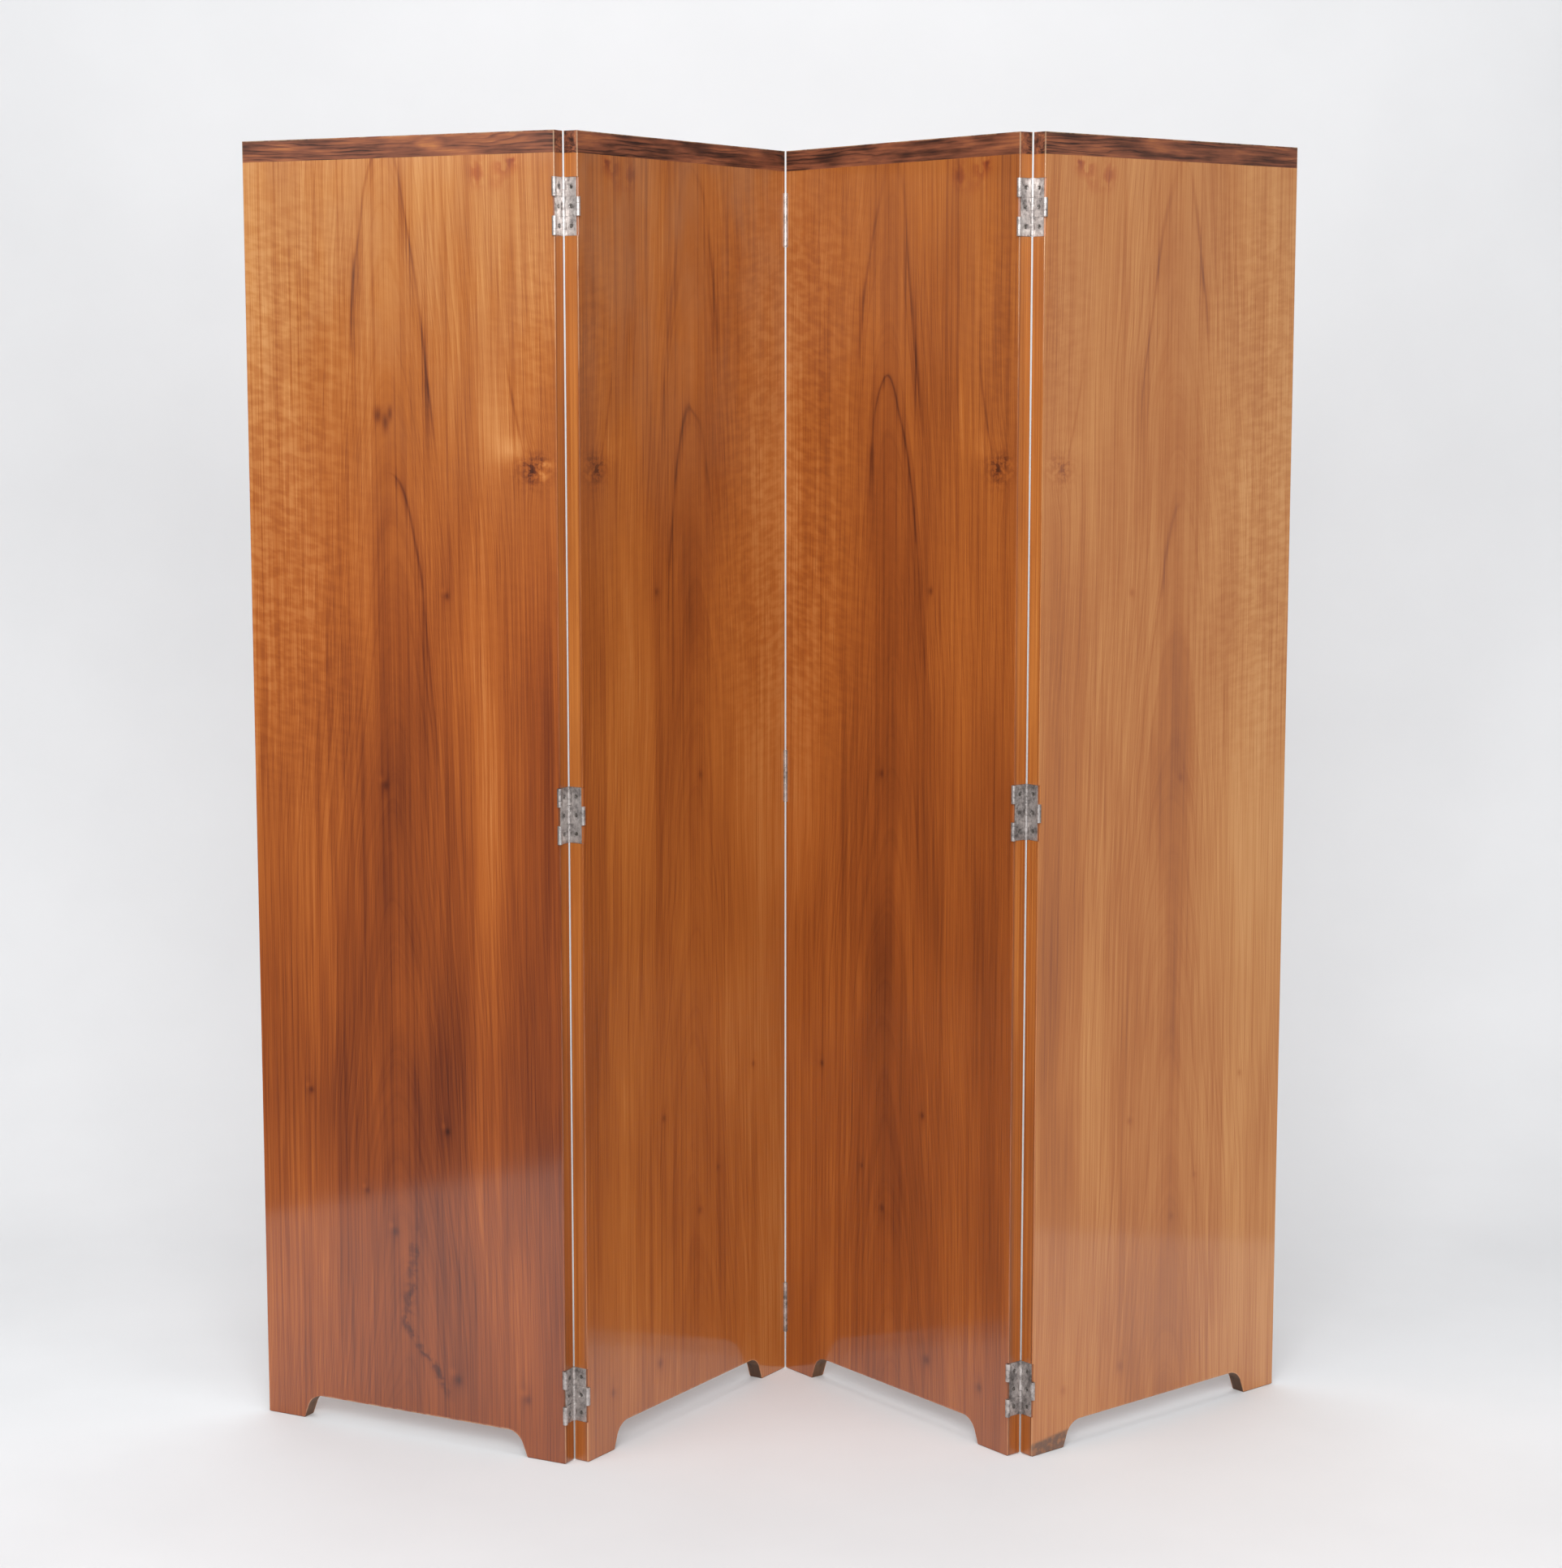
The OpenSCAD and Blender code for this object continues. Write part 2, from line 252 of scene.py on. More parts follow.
highlit_wear, a, end = effect("worn_and_highlit_arris", [("Place", "vector", (0, 0, 0))], [("Worn And Highlit", "value")])
x, y, z = axes(highlit_wear, a["Place"])
to_edge = calc(highlit_wear, "SUBTRACT", PANEL_W / 2, calc(highlit_wear, "ABSOLUTE", total(highlit_wear, x, -PANEL_W / 2)))
to_face = calc(highlit_wear, "SUBTRACT", PANEL_T / 2, calc(highlit_wear, "ABSOLUTE", y))
to_top = calc(highlit_wear, "SUBTRACT", PANEL_H, z)
upright = spread(highlit_wear, total(highlit_wear, to_edge, to_face), *SIDE_PALE_BAND, 1.0, 0.0)
level = spread(highlit_wear, total(highlit_wear, to_top, to_face), *TOP_PALE_BAND, 1.0, 0.0)

# The sawn edge of the arch: its leaning sides below, and its round corners and crown above
inward = calc(highlit_wear, "MAXIMUM", calc(highlit_wear, "SUBTRACT", ARC_U, to_edge), 0.0)
upward = total(highlit_wear, z, -ARC_Z)
corner = total(highlit_wear, calc(highlit_wear, "SQRT", total(highlit_wear, (inward, inward), (upward, upward))), -ARC_R)
slant = product(highlit_wear, total(highlit_wear, FOOT_W, (z, tan(LEAN)), (to_edge, -1.0)), cos(LEAN))
above = spread(highlit_wear, z, *ARC_START)
sawn = total(highlit_wear, (corner, above), (slant, calc(highlit_wear, "SUBTRACT", 1.0, above)))
sawn = spread(highlit_wear, total(highlit_wear, calc(highlit_wear, "ABSOLUTE", sawn), to_face), *ARCH_PALE_BAND, 1.0, 0.0)

# Palest where hands hold the boards and where feet and brooms reach them, and in patches
by_hands = spread(highlit_wear, z, 1.35, 1.75, 0.10, 1.0)
by_feet = spread(highlit_wear, z, 0.25, 0.02, 0.0, 0.7)
patches = spread(highlit_wear, noise(highlit_wear, a["Place"], (60.0, 60.0, 9.0), 4.0, 0.65), 0.36, 0.60)
arris = calc(highlit_wear, "MAXIMUM", sawn, calc(highlit_wear, "MAXIMUM", upright, level))
feed(highlit_wear, end, {"Worn And Highlit": product(highlit_wear, arris, calc(highlit_wear, "MAXIMUM", by_hands, by_feet), patches)})


# EDGE STRIPS
# Solid walnut strips glued to the long edges of the core and flushed off with it. Their grain is
# straight, they are a brighter orange than the faces, and their arrises are pale: partly rubbed,
# partly painted highlight.
STRIP_TONES = {(1, "left"): -0.10, (1, "right"): -0.13, (2, "left"): -0.07, (2, "right"): -0.06,
               (3, "left"): -0.06, (3, "right"): -0.10, (4, "left"): -0.08, (4, "right"): -0.05}
# How pale each board's strip arrises are, as wear and painted highlight together
STRIP_WEAR_AND_HIGHLIGHT = {1: 0.7, 2: 0.7, 3: 0.45, 4: 0.45}
STRIP_WORN_AND_HIGHLIT = (0.62, 0.38, 0.22, 1.0)


def blend(tree, share, first, second, mode="MIX"):
    """Mixes two colours, with share 0 for the first."""
    return put(tree, "ShaderNodeMix", {0: share, 6: first, 7: second}, data_type="RGBA",
               blend_type=mode).outputs[2]


for (number, side), shift in STRIP_TONES.items():
    material, tree, wood = new_material("walnut_strip_%d_%s" % (number, side))
    place = on_panel(tree, number)
    x, y, z = axes(tree, place)
    grain = use(tree, fine, {"Place": move(tree, "ADD", place, (0.0, 0.0, 1.7 * number)),
                             "Streaks": (320, 420, 1.6), "Pores": (900, 1100, 24)})
    clouds = noise(tree, place, (9.0, 9.0, 3.2), 3.0)
    by_the_face = spread(tree, y, -0.0104, -0.0060, -0.18, 0.0)
    by_height = spread(tree, z, 0.1, 1.6, -0.04, 0.07)
    tone = total(tree, (grain["Streak"], 0.75), (clouds, 0.35), shift, by_the_face, by_height,
                 (grain["Pore"], -0.12))
    stained = ramp(tree, tone, [(0.15, (0.120, 0.034, 0.008)), (0.42, (0.320, 0.088, 0.016)),
                                (0.62, (0.500, 0.176, 0.036)), (0.85, (0.640, 0.280, 0.080))])
    worn_and_highlit = use(tree, highlit_wear, {"Place": place})["Worn And Highlit"]
    # The pale arris colour is partly wear and partly painted highlight
    feed(tree, wood, {
        "Base Color": blend(tree, product(tree, worn_and_highlit, STRIP_WEAR_AND_HIGHLIGHT[number]), stained, STRIP_WORN_AND_HIGHLIT),
        "Roughness": total(tree, 0.30, (worn_and_highlit, 0.22)),
        "Coat Weight": 0.45,
        "Coat Roughness": 0.16,
        "Normal": bump(tree, grain["Pore"], -0.00005)})
    dress(material, "panel_%d_%s_lipping" % (number, side))


# FACE VENEERS
# Flat-cut walnut, four leaves from one log laid alternately face up and face down, so that the
# arched figure and every knot come back on each board. Satin lacquer, gone glossy with polish.
# Places on a leaf are metres across it and up it. Spots are rows of centre, reach and amount.
AXIS = 0.235                      # the middle of the arched figure, across the leaf
SWAY = 0.040                      # how far that middle wanders
BEND = 74.0                       # how steeply the arches fall away from it, per metre
CROWN_TOP = 1.80                  # the height of the top of the outer arch
KNOT_PUSH = ((0.470, 1.368), (0.026, 0.055), -0.42)     # how the big knot draws the arches down

# The big knot: a dark star, a golden patch up and left of it, and the place and half width of a
# crack that runs up from it
STAR = [((0.452, 1.373), (0.0075, 0.0060), 0.30), ((0.461, 1.362), (0.0080, 0.0110), 0.36),
        ((0.472, 1.378), (0.0090, 0.0075), 0.26), ((0.466, 1.366), (0.0280, 0.0220), 0.22)]
STAR_GLOW = [((0.430, 1.394), (0.024, 0.018), 0.20), ((0.405, 1.420), (0.032, 0.055), 0.15),
             ((0.478, 1.360), (0.010, 0.009), 0.26), ((0.482, 1.374), (0.014, 0.004), 0.24)]
CHECK_U, CHECK_Z, CHECK_HALF = 0.4535, 1.375, 0.0022

# Each small knot of the log: its place, its size, and how dark its heart is. The heart lies right
# of the middle, in a faint shade, and a glow lies up and left of it.
KNOTS = [((0.322, 1.197), 0.0050, 0.30), ((0.217, 0.932), 0.0055, 0.26), ((0.083, 0.488), 0.0045, 0.34),
         ((0.311, 0.452), 0.0050, 0.30), ((0.222, 0.299), 0.0055, 0.26), ((0.176, 0.352), 0.0040, 0.20),
         ((0.322, 0.098), 0.0070, 0.30), ((0.436, 0.086), 0.0060, 0.24)]
KNOT_HEARTS = [((u + 0.6 * size, v - 0.5 * size), (0.8 * size, size), 0.7 * depth)
               for (u, v), size, depth in KNOTS]
KNOT_SHADES = [(centre, (1.9 * size, 3.2 * size), 0.07) for centre, size, _ in KNOTS]
KNOT_GLOWS = [((u - 0.7 * size, v + 0.9 * size), (0.9 * size, size), 0.11)
              for (u, v), size, _ in KNOTS]

# Red-brown swirls by the rail, a dark mark on the crown of the arch, shades above the long crack on
# either side, and that crack's course as (share of its reach up the leaf, place across)
SWIRLS = [((0.380, 1.757), (0.012, 0.016), 0.8), ((0.424, 1.766), (0.016, 0.010), 0.9),
          ((0.436, 1.774), (0.007, 0.006), 0.9), ((0.412, 1.745), (0.020, 0.012), 0.3)]
CROWN_MARK = [((0.2170, 1.437), (0.0060, 0.0105), 0.30), ((0.2290, 1.428), (0.0050, 0.0130), 0.30),
              ((0.2370, 1.440), (0.0035, 0.0090), 0.30)]
CRACK_SHADES = [((0.160, 0.600), (0.036, 0.17), -0.10), ((0.335, 0.620), (0.028, 0.13), -0.08)]
CRACK_REACH = 0.4
CRACK_COURSE = [(0.17, 0.310), (0.25, 0.290), (0.315, 0.270), (0.35, 0.257), (0.375, 0.245),
                (0.41, 0.239), (0.50, 0.242), (0.62, 0.250), (0.78, 0.262)]

# Colours: what red leaves and swirls are multiplied by, a painted sheen of reflected light, and a
# scuffed foot
REDDER, SHEEN_TINT, SCUFFED = (1.02, 0.72, 0.80, 1.0), (0.52, 0.46, 0.32, 1.0), (0.085, 0.045, 0.030, 1.0)


def flat_noise(tree, place, stretch, detail=2.0, roughness=0.5):
    """Noise from 0 to 1 over a leaf, whose cells are 1 / stretch metres wide and tall."""
    return noise(tree, place, (*stretch, 0.0), detail, roughness, "2D")


def spot(tree, place, centre, reach):
    """A soft spot, 1 at its centre, that fades over reach metres across and up."""
    away = move(tree, "DIVIDE", move(tree, "SUBTRACT", place, centre), (*reach, 1.0))
    square = put(tree, "ShaderNodeVectorMath", {0: away, 1: away},
                 operation="DOT_PRODUCT").outputs["Value"]
    return calc(tree, "EXPONENT", product(tree, square, -1.0))


def spots(tree, place, rows):
    """The sum of soft spots in rows of centre, reach and amount."""
    return total(tree, *((spot(tree, place, (*centre, 0.0), reach), amount)
                         for centre, reach, amount in rows))


def bell(tree, distance, width):
    """1 where the distance is 0, fading over the width to either side."""
    share = calc(tree, "DIVIDE", distance, width)
    return calc(tree, "EXPONENT", product(tree, share, share, -1.0))


# Side is -1 on a reversed leaf, and Shift moves the fine figure. Tone, Fade, Foot and the rims set
# how light the leaf is: all over, towards the top, at the foot and beside its edges, and they are
# painted light and shade, set board by board to the light each one gets. Crown and the three values
# for Arch draw the dark arches, Lines the straight grain, and Shade a dark streak. Crack brings the
# first leaf's own marks. The others tint the leaf, or lay a painted sheen of reflected light or
# scuffs on it.
VALUES = {"Side": 1.0, "Tone": 0.5, "Fade": 0.0, "Foot": 0.0, "Left Rim": 0.0, "Right Rim": 0.0,
          "Crown": 1.0, "Arch": 1.46, "Arch Depth": 1.0, "Arch Left": 1.0, "Lines": 0.7,
          "Shade Depth": 0.0, "Crack": 0.0, "Red": 0.0, "Gold": 0.0, "Dark": 0.0, "Top Sheen": 0.0,
          "Even Sheen": 0.0, "Scuff": 0.0}
figure, a, end = effect("walnut_figure",
                        [("Place", "vector", (0, 0, 0)), ("Shift", "vector", (0, 0, 0)),
                         ("Shade", "vector", (0.25, 1.2, 0)),
                         *((label, "value", default) for label, default in VALUES.items())],
                        [("Color", "colour"), ("Gloss", "value")])
x, _, up = axes(figure, a["Place"])
across = total(figure, PANEL_W / 2, (total(figure, x, -PANEL_W / 2), a["Side"]))
leaf = put(figure, "ShaderNodeCombineXYZ", {"X": across, "Y": up}).outputs[0]
strewn = move(figure, "ADD", leaf, a["Shift"])

# Growth rings: the height of the top of the arch that runs through each place. They sway a little,
# and the big knot near the right edge pushes the grain aside.
sway = flat_noise(figure, strewn, (0.0, 2.1), 1.0)
wave = flat_noise(figure, strewn, (7.0, 3.0), 2.0)
beside = total(figure, across, SWAY / 2 - AXIS, (sway, -SWAY))
bent = product(figure, beside, beside)
arch = total(figure, up, (bent, BEND), (wave, 0.16), spots(figure, leaf, [KNOT_PUSH]), -0.08)
steep = calc(figure, "SQRT", total(figure, 1.0, (bent, (2 * BEND) ** 2)))
threads = spread(figure, flat_noise(figure, strewn, (190.0, 1.5), 3.0, 0.66), 0.44, 0.72)
patchy = spread(figure, flat_noise(figure, strewn, (9.0, 7.0), 2.0), 0.30, 0.58, 0.25, 1.0)


def arch_line(top, width):
    """A dark line along the arch whose top is at the given height."""
    away = calc(figure, "DIVIDE", calc(figure, "SUBTRACT", arch, top), steep)
    soft = bell(figure, total(figure, away, 0.6 * width), 2.0 * width)
    thin = bell(figure, away, 0.5 * width)
    return total(figure, (product(figure, soft, total(figure, threads, 0.30)), 0.55), (thin, 0.60))


# The dark arches, which stop short at different heights on either side
right = spread(figure, beside, -0.006, 0.012)
left = calc(figure, "SUBTRACT", 1.0, right)
crown = product(figure, arch_line(CROWN_TOP, 0.0052), total(
    figure, (right, spread(figure, up, 1.36, 1.48), spread(figure, up, 1.78, 1.60, 0.35, 1.0), 0.34),
    (left, spread(figure, up, 1.49, 1.60), spread(figure, up, 1.78, 1.66, 0.3, 1.0), 0.42)))
below = calc(figure, "SUBTRACT", a["Arch"], up)
inner = product(figure, arch_line(a["Arch"], 0.0046), total(
    figure, (right, spread(figure, below, 0.50, 0.12), 0.30),
    (left, a["Arch Left"], spread(figure, below, 0.24, 0.06), 0.26)))
drawn = product(figure, total(figure, (crown, a["Crown"]), (inner, a["Arch Depth"])), patchy)

# Fainter rings follow the same arches: thin where they run upright, broad and soft in the middle
ringed = put(figure, "ShaderNodeCombineXYZ", {"X": arch, "Y": up}).outputs[0]
ringed = move(figure, "ADD", ringed, a["Shift"])
aside = calc(figure, "ABSOLUTE", beside)
broad = product(figure, total(figure, flat_noise(figure, ringed, (13.0, 1.6), 3.0, 0.6), -0.5),
                spread(figure, aside, 0.02, 0.09, 0.45, 1.0))
slim = product(figure, spread(figure, flat_noise(figure, ringed, (34.0, 2.6), 3.0, 0.62), 0.46, 0.70),
               spread(figure, aside, 0.01, 0.07, 0.35, 1.0))
ribbons = flat_noise(figure, strewn, (48.0, 0.8), 3.0, 0.6)
hairs = flat_noise(figure, strewn, (640.0, 7.0), 2.0, 0.6)
clouds = flat_noise(figure, strewn, (12.0, 2.6), 3.0)

# Broad upright bands in the lower half: a golden one right of the figure, a red-brown one beside it
low_down = product(figure, spread(figure, up, 1.45, 0.95), spread(figure, up, 0.10, 0.45, 0.3, 1.0))
golden = product(figure, spread(figure, across, 0.345, 0.368), spread(figure, across, 0.412, 0.392))
ruddy = product(figure, spread(figure, across, 0.398, 0.430),
                spread(figure, across, 0.500, 0.470, 0.5, 1.0))
bands = product(figure, low_down, total(figure, (golden, a["Gold"]), (ruddy, a["Dark"], -1.0)))

# Slow changes of tone over the leaf: lighter left of the figure and right of it, and darker along
# its middle. Painted shade darkens the right edge, which meets a joint on every board; the leaf's
# own rims and foot are painted light and shade; and the first leaf has dark patches by its crack.
lighter = total(figure, spread(figure, across, 0.05, 0.24, 0.055, -0.065),
                spread(figure, across, 0.30, 0.42, 0.0, 0.05))
middle = spots(figure, leaf, [((0.228, 1.02), (0.034, 0.55), -0.075)])
slope = total(
    figure, (lighter, spread(figure, up, 1.75, 1.3, 0.3, 1.0)),
    (middle, spread(figure, up, 1.52, 1.42)),
    # Painted shade by the joint at each leaf's right edge
    (spread(figure, across, 0.435, 0.485), spread(figure, up, 0.3, 0.6), -0.05),
    # Painted light and shade at the leaf's rims and foot
    (spread(figure, across, 0.095, 0.015), spread(figure, up, 0.55, 1.10), a["Left Rim"]),
    (spread(figure, across, 0.420, 0.480), a["Right Rim"]),
    (spread(figure, up, 0.50, 0.16), a["Foot"]),
    (spots(figure, leaf, CRACK_SHADES), a["Crack"]))

# Ripple across the grain at the upper left, where the light catches the curled fibres, and a
# little of it above the big knot
tilted = move(figure, "ADD", strewn,
              put(figure, "ShaderNodeCombineXYZ", {"Y": product(figure, across, 0.12)}).outputs[0])
bars = spread(figure, flat_noise(figure, tilted, (36.0, 90.0), 2.0), 0.30, 0.70, -0.5, 0.5)
curled = total(
    figure, (spread(figure, across, 0.24, 0.05, 0.12, 1.0), spread(figure, up, 0.80, 1.15),
             spread(figure, up, 1.79, 1.62, 0.35, 1.0)),
    spots(figure, leaf, [((0.47, 1.56), (0.05, 0.13), 0.5)]))
ripple = product(figure, bars, curled, a["Lines"])

# Knots, with the crack that runs up from the big one
starry = spread(figure, flat_noise(figure, leaf, (120.0, 150.0), 2.0), 0.38, 0.62, 0.25, 1.0)
above = total(figure, up, -CHECK_Z)
rise = calc(figure, "MAXIMUM", above, 0.0)
check = bell(figure, total(figure, across, -CHECK_U, (above, 0.30), (rise, rise, -0.55)), CHECK_HALF)
check = product(figure, check, patchy, spread(figure, up, 1.372, 1.385), spread(figure, up, 1.56, 1.44))
faint = spread(figure, a["Lines"], 0.55, 0.80, 0.45, 1.0)
marks = product(figure, faint, total(
    figure, (spots(figure, leaf, STAR), starry), (check, 0.17),
    spots(figure, leaf, KNOT_HEARTS + KNOT_SHADES), (spots(figure, leaf, CROWN_MARK), a["Crack"])))
glow = product(figure, spots(figure, leaf, STAR_GLOW + KNOT_GLOWS), faint,
               spread(figure, a["Crack"], 0.0, 1.0, 0.4, 1.0))

# Swirls by the rail, the shade that differs from leaf to leaf, and the long dark crack
swirl = product(figure, spots(figure, leaf, SWIRLS),
                spread(figure, flat_noise(figure, leaf, (70.0, 60.0), 2.0), 0.30, 0.62))
shade = product(figure, spot(figure, leaf, a["Shade"], (0.032, 0.115)), a["Shade Depth"])
course = ramp(figure, calc(figure, "DIVIDE", up, CRACK_REACH), CRACK_COURSE)
crooked = flat_noise(figure, leaf, (60.0, 34.0), 3.0, 0.65)
crack = bell(figure, total(figure, across, (course, -1.0), (total(figure, crooked, -0.5), -0.034)),
             product(figure, crooked, 0.0125))
crack = product(figure, crack, a["Crack"], spread(figure, up, 0.055, 0.10),
                spread(figure, up, 0.36, 0.19),
                spread(figure, flat_noise(figure, leaf, (30.0, 60.0), 2.0), 0.36, 0.58, 0.2, 1.0))

# All of it together, as a tone that picks the colour
straight = total(figure, 0.33, (slim, -0.10), (threads, -0.13), (ribbons, -0.22), (hairs, -0.26))
# Tone and Fade are painted light: how brightly the board is lit, and how that changes with height
tone = total(
    figure, a["Tone"], (total(figure, up, -1.0), a["Fade"]), (drawn, -1.0), slope, (broad, -0.20),
    (clouds, 0.24), bands, (ripple, 0.13), (marks, -0.9), (glow, 0.9), (swirl, -0.20),
    (shade, -1.0), (crack, -0.24), (straight, a["Lines"]), -0.045)
colour = ramp(figure, tone, [(0.00, (0.045, 0.010, 0.004)), (0.22, (0.135, 0.030, 0.008)),
                             (0.42, (0.275, 0.070, 0.013)), (0.58, (0.415, 0.125, 0.022)),
                             (0.74, (0.550, 0.222, 0.060)), (0.95, (0.720, 0.370, 0.140))])
redder = total(figure, (spread(figure, up, 1.70, 1.10), a["Red"]), (swirl, 0.8))
colour = blend(figure, redder, colour, blend(figure, 1.0, colour, REDDER, "MULTIPLY"))

# A cloudy painted sheen of reflected light that grows towards the top, an even painted sheen,
# and dark scuffs low on the foot at the leaf's right
painted_sheen = spread(figure, flat_noise(figure, strewn, (11.0, 4.5), 3.0, 0.6), 0.30, 0.70, 0.4, 1.6)
painted_sheen = product(figure, a["Top Sheen"], spread(figure, up, 1.10, 1.90), painted_sheen)
colour = blend(figure, total(figure, painted_sheen, a["Even Sheen"]), colour, SHEEN_TINT)
scuff_line = total(figure, up, (total(figure, across, -0.45), 0.10))
scuffs = spread(figure, flat_noise(figure, leaf, (90.0, 110.0), 3.0, 0.6), 0.30, 0.60, 0.55, 1.0)
scuffs = product(figure, a["Scuff"], scuffs, spread(figure, scuff_line, 0.026, 0.020),
                 spread(figure, across, 0.41, 0.43))
colour = blend(figure, scuffs, colour, SCUFFED)
feed(figure, end, {"Color": colour, "Gloss": spread(figure, hairs, 0.5, 0.7, 0.34, 0.46)})

# Each front leaf's Tone, Fade, Foot and rims are painted light and shade for the light its board gets
LEAVES = {
    (1, "front"): {"Shift": (0.0, 0.0, 0.0), "Tone": 0.400, "Fade": 0.22, "Foot": 0.10,
                   "Left Rim": 0.03, "Arch": 1.35, "Arch Left": 0.1, "Lines": 0.8,
                   "Shade": (0.308, 0.545, 0.0), "Shade Depth": 0.09, "Crack": 1.0, "Red": 0.36,
                   "Gold": 0.08, "Dark": 0.06, "Top Sheen": 0.05},
    (2, "front"): {"Shift": (0.4, 0.7, 0.0), "Tone": 0.442, "Fade": -0.02, "Left Rim": 0.06,
                   "Right Rim": -0.04, "Crown": 0.6, "Arch": 1.485, "Arch Depth": 1.2,
                   "Shade": (0.245, 1.22, 0.0), "Shade Depth": 0.09, "Gold": 0.01, "Dark": 0.03,
                   "Top Sheen": 0.08},
    (3, "front"): {"Shift": (0.9, 0.2, 0.0), "Tone": 0.376, "Fade": 0.08, "Foot": 0.05,
                   "Left Rim": 0.08, "Arch": 1.49, "Arch Depth": 1.2, "Lines": 0.75,
                   "Shade": (0.215, 0.64, 0.0), "Shade Depth": 0.07, "Red": 0.12, "Gold": 0.02,
                   "Dark": 0.04, "Top Sheen": 0.02},
    (4, "front"): {"Shift": (1.3, 0.5, 0.0), "Tone": 0.585, "Foot": -0.05, "Crown": 0.5, "Arch": 1.30,
                   "Arch Depth": 0.6, "Arch Left": 0.1, "Lines": 0.6, "Shade": (0.43, 0.70, 0.0),
                   "Shade Depth": 0.05, "Dark": 0.09, "Top Sheen": 0.02, "Even Sheen": 0.04, "Scuff": 0.85},
}
for number in PANELS:
    LEAVES[(number, "back")] = {
        **LEAVES[(number, "front")], "Shift": (2.1 + 0.6 * number, 3.0, 0.0), "Tone": 0.50, "Fade": 0.0,
        "Arch": 1.22, "Shade Depth": 0.04, "Crack": 0.0, "Top Sheen": 0.0, "Scuff": 0.0}
LEAF_WEAR_AND_HIGHLIGHT = {1: 0.7, 2: 0.7, 3: 0.4, 4: 0.4}
LEAF_WORN_AND_HIGHLIT = (0.60, 0.36, 0.20, 1.0)
for (number, face), looks in LEAVES.items():
    material, tree, wood = new_material("walnut_veneer_%d_%s" % (number, face))
    place = on_panel(tree, number)
    turned = -1.0 if PANELS[number]["reversed"] else 1.0
    wooden = use(tree, figure, {"Place": place, "Side": turned, **looks})
    worn_and_highlit = use(tree, highlit_wear, {"Place": place})["Worn And Highlit"]
    pores = spread(tree, noise(tree, place, (850.0, 0.0, 22.0), 2.0, 0.6), *PORE_BAND)
    # The pale arris colour is partly wear and partly painted highlight
    leaf_worn_and_highlit = product(tree, worn_and_highlit, LEAF_WEAR_AND_HIGHLIGHT[number])
    feed(tree, wood, {
        "Base Color": blend(tree, leaf_worn_and_highlit, wooden["Color"], LEAF_WORN_AND_HIGHLIT),
        "Roughness": total(tree, wooden["Gloss"], (worn_and_highlit, 0.2)),
        "Specular IOR Level": 0.2,
        "Coat Weight": 1.0,
        "Coat IOR": 1.58,
        "Coat Roughness": 0.10,
        "Normal": bump(tree, pores, -0.00003)})
    dress(material, "panel_%d_%s_veneer" % (number, face))


# TOP RAILS
# A solid rosewood rail tongued into the top of each board, dark brown with purple-black veins
# along it. End grain shows at both ends, and its front edge is pale: partly rubbed, partly painted
# highlight.
RAIL_TONES = {1: -0.03, 2: -0.10, 3: -0.09, 4: -0.07}
RAIL_WEAR_AND_HIGHLIGHT = 0.6
RAIL_WORN_AND_HIGHLIT = (0.46, 0.30, 0.18, 1.0)

# How dark a vein is from its lower side to its upper one, and a pale patch on the first rail: its
# place, and how fast it fades per metre along the rail and up it
VEINS_PER_M = 190.0
VEIN = [(0.0, 0.0), (0.5, 0.15), (0.85, 1.0), (0.93, 0.8), (1.0, 0.0)]
PATCH_AT, PATCH_FADE = (0.306, 0.0, 1.798), (38.0, 0.0, 95.0)
for number, shift in RAIL_TONES.items():
    material, tree, wood = new_material("rosewood_rail_%d" % number)
    on_rail = on_panel(tree, number)
    place = move(tree, "ADD", on_rail, (0.73 * number, 0.0, 0.0))
    grain = use(tree, fine, {"Place": place, "Streaks": (9.0, 190, 190), "Pores": (34, 1100, 1100)})
    bend = noise(tree, place, (5.0, 30.0, 30.0), 3.0)
    veins = calc(tree, "FRACT", total(tree, (axes(tree, place)[2], VEINS_PER_M), (bend, 6.5)))
    veins = product(tree, ramp(tree, veins, VEIN),
                    spread(tree, noise(tree, place, (7.0, 60.0, 60.0), 2.0), 0.42, 0.62))
    clouds = noise(tree, place, (14.0, 60.0, 60.0), 3.0)
    tone = total(tree, shift, (grain["Streak"], 1.15), (veins, -0.30), (grain["Pore"], -0.16),
                 clouds, -0.5)
    if number == 1:
        away = move(tree, "MULTIPLY", move(tree, "SUBTRACT", on_rail, PATCH_AT), PATCH_FADE)
        away = put(tree, "ShaderNodeVectorMath", {0: away}, operation="LENGTH").outputs["Value"]
        patch = spread(tree, total(tree, away, (grain["Streak"], 0.8)), 0.85, 1.45, 1.0, 0.0)
        tone = total(tree, tone, (patch, 0.30))
    deep = ramp(tree, tone, [(0.12, (0.030, 0.013, 0.010)), (0.34, (0.105, 0.036, 0.020)),
                             (0.55, (0.215, 0.070, 0.036)), (0.78, (0.340, 0.115, 0.046)),
                             (0.95, (0.470, 0.175, 0.055))])
    worn_and_highlit = use(tree, highlit_wear, {"Place": on_rail})["Worn And Highlit"]
    # The pale arris colour is partly wear and partly painted highlight
    feed(tree, wood, {
        "Base Color": blend(tree, product(tree, worn_and_highlit, RAIL_WEAR_AND_HIGHLIGHT), deep, RAIL_WORN_AND_HIGHLIT),
        "Roughness": total(tree, 0.36, (grain["Pore"], 0.25)),
        "Specular IOR Level": 0.2,
        "Coat Weight": 0.35,
        "Coat Roughness": 0.18,
        "Normal": bump(tree, grain["Pore"], -0.00012)})
    dress(material, "panel_%d_top_rail" % number)


